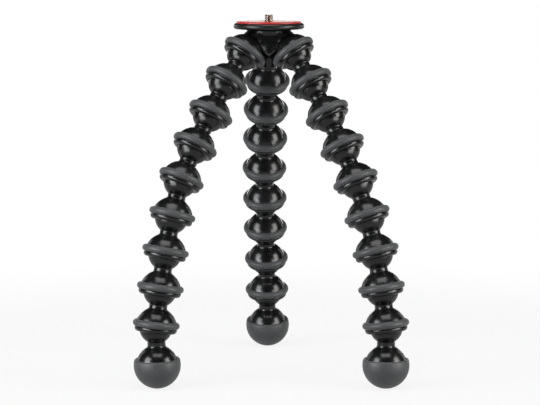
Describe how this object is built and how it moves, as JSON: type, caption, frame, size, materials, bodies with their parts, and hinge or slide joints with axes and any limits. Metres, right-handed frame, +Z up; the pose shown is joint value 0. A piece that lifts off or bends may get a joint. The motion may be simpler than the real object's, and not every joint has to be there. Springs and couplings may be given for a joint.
{
  "type": "flexible leg tripod",
  "caption": "Small tripod whose legs are chains of ball joints with rubber grip rings, under a turning camera plate with an upright screw.",
  "frame": {"origin": "middle of the plate pad's top face, where a camera's base is drawn down", "axes": "+Z up along the camera screw; two legs come forward towards -Y, to the left (-X) and right (+X), and the third goes back along +Y"},
  "size_m": [0.2027, 0.2098, 0.2716],
  "materials": {
    "gloss_black_plastic": "polished",
    "grip_rubber": "matte",
    "pad_rubber": "matte",
    "screw_steel": "plated"
  },
  "bodies": {
    "hub": {"hub_body": "gloss_black_plastic", "hub_crown": "gloss_black_plastic", "hub_grip_rings": "grip_rubber"},
    "camera_plate": {"camera_plate": "gloss_black_plastic", "plate_pad": "pad_rubber", "camera_screw": "screw_steel"},
    "left_link_1": {"left_link_1": "gloss_black_plastic", "left_grip_ring_1": "grip_rubber"},
    "left_link_2": {"left_link_2": "gloss_black_plastic", "left_grip_ring_2": "grip_rubber"},
    "left_link_3": {"left_link_3": "gloss_black_plastic", "left_grip_ring_3": "grip_rubber"},
    "left_link_4": {"left_link_4": "gloss_black_plastic", "left_grip_ring_4": "grip_rubber"},
    "left_link_5": {"left_link_5": "gloss_black_plastic", "left_grip_ring_5": "grip_rubber"},
    "left_link_6": {"left_link_6": "gloss_black_plastic", "left_grip_ring_6": "grip_rubber"},
    "left_link_7": {"left_link_7": "gloss_black_plastic", "left_grip_ring_7": "grip_rubber"},
    "left_link_8": {"left_link_8": "gloss_black_plastic", "left_grip_ring_8": "grip_rubber"},
    "left_foot": {"left_foot_core": "gloss_black_plastic", "left_foot_cap": "grip_rubber"},
    "right_link_1": {"right_link_1": "gloss_black_plastic", "right_grip_ring_1": "grip_rubber"},
    "right_link_2": {"right_link_2": "gloss_black_plastic", "right_grip_ring_2": "grip_rubber"},
    "right_link_3": {"right_link_3": "gloss_black_plastic", "right_grip_ring_3": "grip_rubber"},
    "right_link_4": {"right_link_4": "gloss_black_plastic", "right_grip_ring_4": "grip_rubber"},
    "right_link_5": {"right_link_5": "gloss_black_plastic", "right_grip_ring_5": "grip_rubber"},
    "right_link_6": {"right_link_6": "gloss_black_plastic", "right_grip_ring_6": "grip_rubber"},
    "right_link_7": {"right_link_7": "gloss_black_plastic", "right_grip_ring_7": "grip_rubber"},
    "right_link_8": {"right_link_8": "gloss_black_plastic", "right_grip_ring_8": "grip_rubber"},
    "right_foot": {"right_foot_core": "gloss_black_plastic", "right_foot_cap": "grip_rubber"},
    "rear_link_1": {"rear_link_1": "gloss_black_plastic", "rear_grip_ring_1": "grip_rubber"},
    "rear_link_2": {"rear_link_2": "gloss_black_plastic", "rear_grip_ring_2": "grip_rubber"},
    "rear_link_3": {"rear_link_3": "gloss_black_plastic", "rear_grip_ring_3": "grip_rubber"},
    "rear_link_4": {"rear_link_4": "gloss_black_plastic", "rear_grip_ring_4": "grip_rubber"},
    "rear_link_5": {"rear_link_5": "gloss_black_plastic", "rear_grip_ring_5": "grip_rubber"},
    "rear_link_6": {"rear_link_6": "gloss_black_plastic", "rear_grip_ring_6": "grip_rubber"},
    "rear_link_7": {"rear_link_7": "gloss_black_plastic", "rear_grip_ring_7": "grip_rubber"},
    "rear_link_8": {"rear_link_8": "gloss_black_plastic", "rear_grip_ring_8": "grip_rubber"},
    "rear_foot": {"rear_foot_core": "gloss_black_plastic", "rear_foot_cap": "grip_rubber"}
  },
  "joints": [
    {"name": "plate_turn", "type": "hinge", "parent": "hub", "child": "camera_plate", "pos_m": [0, 0, -0.0061], "axis": [0, 0, 1], "continuous": true},
    {"name": "left_ball_1_bend", "type": "hinge", "parent": "hub", "child": "left_link_1", "pos_m": [-0.01912, -0.01104, -0.0242], "axis": [-0.6046, 0.7965, 0], "range_deg": [-31, 29]},
    {"name": "left_ball_2_sway", "type": "hinge", "parent": "left_link_1", "child": "left_link_2", "pos_m": [-0.03271, -0.02135, -0.04526], "axis": [-0.6755, -0.5127, 0.5299], "range_deg": [-26, 26]},
    {"name": "left_ball_3_bend", "type": "hinge", "parent": "left_link_2", "child": "left_link_3", "pos_m": [-0.04415, -0.03004, -0.06825], "axis": [0.6046, -0.7965, 0], "range_deg": [-30, 30]},
    {"name": "left_ball_4_sway", "type": "hinge", "parent": "left_link_3", "child": "left_link_4", "pos_m": [-0.05559, -0.03872, -0.09123], "axis": [0.7097, 0.5387, -0.454], "range_deg": [-26, 26]},
    {"name": "left_ball_5_bend", "type": "hinge", "parent": "left_link_4", "child": "left_link_5", "pos_m": [-0.06539, -0.04616, -0.11538], "axis": [-0.6046, 0.7965, 0], "range_deg": [-20, 40]},
    {"name": "left_ball_6_sway", "type": "hinge", "parent": "left_link_5", "child": "left_link_6", "pos_m": [-0.0717, -0.05095, -0.1413], "axis": [-0.7761, -0.5891, 0.225], "range_deg": [-26, 26]},
    {"name": "left_ball_7_bend", "type": "hinge", "parent": "left_link_6", "child": "left_link_7", "pos_m": [-0.07656, -0.05464, -0.16771], "axis": [0.6046, -0.7965, 0], "range_deg": [-33, 27]},
    {"name": "left_ball_8_sway", "type": "hinge", "parent": "left_link_7", "child": "left_link_8", "pos_m": [-0.08031, -0.05748, -0.1944], "axis": [0.7888, 0.5987, -0.1392], "range_deg": [-26, 26]},
    {"name": "left_ball_9_bend", "type": "hinge", "parent": "left_link_8", "child": "left_foot", "pos_m": [-0.08331, -0.05976, -0.22124], "axis": [-0.6046, 0.7965, 0], "range_deg": [-20, 40]},
    {"name": "right_ball_1_bend", "type": "hinge", "parent": "hub", "child": "right_link_1", "pos_m": [0.01912, -0.01104, -0.0242], "axis": [-0.6046, -0.7965, 0], "range_deg": [-27, 33]},
    {"name": "right_ball_2_sway", "type": "hinge", "parent": "right_link_1", "child": "right_link_2", "pos_m": [0.03153, -0.02046, -0.04638], "axis": [0.6598, -0.5008, 0.5603], "range_deg": [-26, 26]},
    {"name": "right_ball_3_bend", "type": "hinge", "parent": "right_link_2", "child": "right_link_3", "pos_m": [0.04362, -0.02964, -0.06883], "axis": [0.6046, 0.7965, 0], "range_deg": [-34, 26]},
    {"name": "right_ball_4_sway", "type": "hinge", "parent": "right_link_3", "child": "right_link_4", "pos_m": [0.05444, -0.03785, -0.09229], "axis": [-0.7155, 0.5431, -0.4395], "range_deg": [-26, 26]},
    {"name": "right_ball_5_bend", "type": "hinge", "parent": "right_link_4", "child": "right_link_5", "pos_m": [0.06393, -0.04505, -0.11663], "axis": [-0.6046, -0.7965, 0], "range_deg": [-26, 34]},
    {"name": "right_ball_6_sway", "type": "hinge", "parent": "right_link_5", "child": "right_link_6", "pos_m": [0.07205, -0.05121, -0.14175], "axis": [0.7654, -0.581, 0.2769], "range_deg": [-26, 26]},
    {"name": "right_ball_7_bend", "type": "hinge", "parent": "right_link_6", "child": "right_link_7", "pos_m": [0.07802, -0.05575, -0.16779], "axis": [0.6046, 0.7965, 0], "range_deg": [-35, 25]},
    {"name": "right_ball_8_sway", "type": "hinge", "parent": "right_link_7", "child": "right_link_8", "pos_m": [0.08217, -0.0589, -0.19439], "axis": [-0.7886, 0.5986, -0.1405], "range_deg": [-26, 26]},
    {"name": "right_ball_9_bend", "type": "hinge", "parent": "right_link_8", "child": "right_foot", "pos_m": [0.0852, -0.0612, -0.22122], "axis": [-0.6046, -0.7965, 0], "range_deg": [-22, 38]},
    {"name": "rear_ball_1_bend", "type": "hinge", "parent": "hub", "child": "rear_link_1", "pos_m": [0, 0.02208, -0.0242], "axis": [1, 0, 0], "range_deg": [-19, 41]},
    {"name": "rear_ball_2_sway", "type": "hinge", "parent": "rear_link_1", "child": "rear_link_2", "pos_m": [-0.00095, 0.03453, -0.04826], "axis": [0, 0.8628, 0.5055], "range_deg": [-26, 26]},
    {"name": "rear_ball_3_bend", "type": "hinge", "parent": "rear_link_2", "child": "rear_link_3", "pos_m": [-0.00189, 0.04823, -0.07163], "axis": [-1, 0, 0], "range_deg": [-30, 30]},
    {"name": "rear_ball_4_sway", "type": "hinge", "parent": "rear_link_3", "child": "rear_link_4", "pos_m": [-0.00236, 0.06193, -0.09501], "axis": [0, -0.9036, -0.4284], "range_deg": [-26, 26]},
    {"name": "rear_ball_5_bend", "type": "hinge", "parent": "rear_link_4", "child": "rear_link_5", "pos_m": [-0.00284, 0.07354, -0.11949], "axis": [1, 0, 0], "range_deg": [-27, 33]},
    {"name": "rear_ball_6_sway", "type": "hinge", "parent": "rear_link_5", "child": "rear_link_6", "pos_m": [-0.00236, 0.08385, -0.14455], "axis": [0, 0.9248, 0.3805], "range_deg": [-26, 26]},
    {"name": "rear_ball_7_bend", "type": "hinge", "parent": "rear_link_6", "child": "rear_link_7", "pos_m": [-0.00189, 0.09416, -0.16961], "axis": [-1, 0, 0], "range_deg": [-34, 26]},
    {"name": "rear_ball_8_sway", "type": "hinge", "parent": "rear_link_7", "child": "rear_link_8", "pos_m": [-0.00095, 0.10269, -0.19532], "axis": [0, -0.9729, -0.2312], "range_deg": [-26, 26]},
    {"name": "rear_ball_9_bend", "type": "hinge", "parent": "rear_link_8", "child": "rear_foot", "pos_m": [-0.00047, 0.10896, -0.22169], "axis": [1, 0, 0], "range_deg": [-27, 33]}
  ]
}
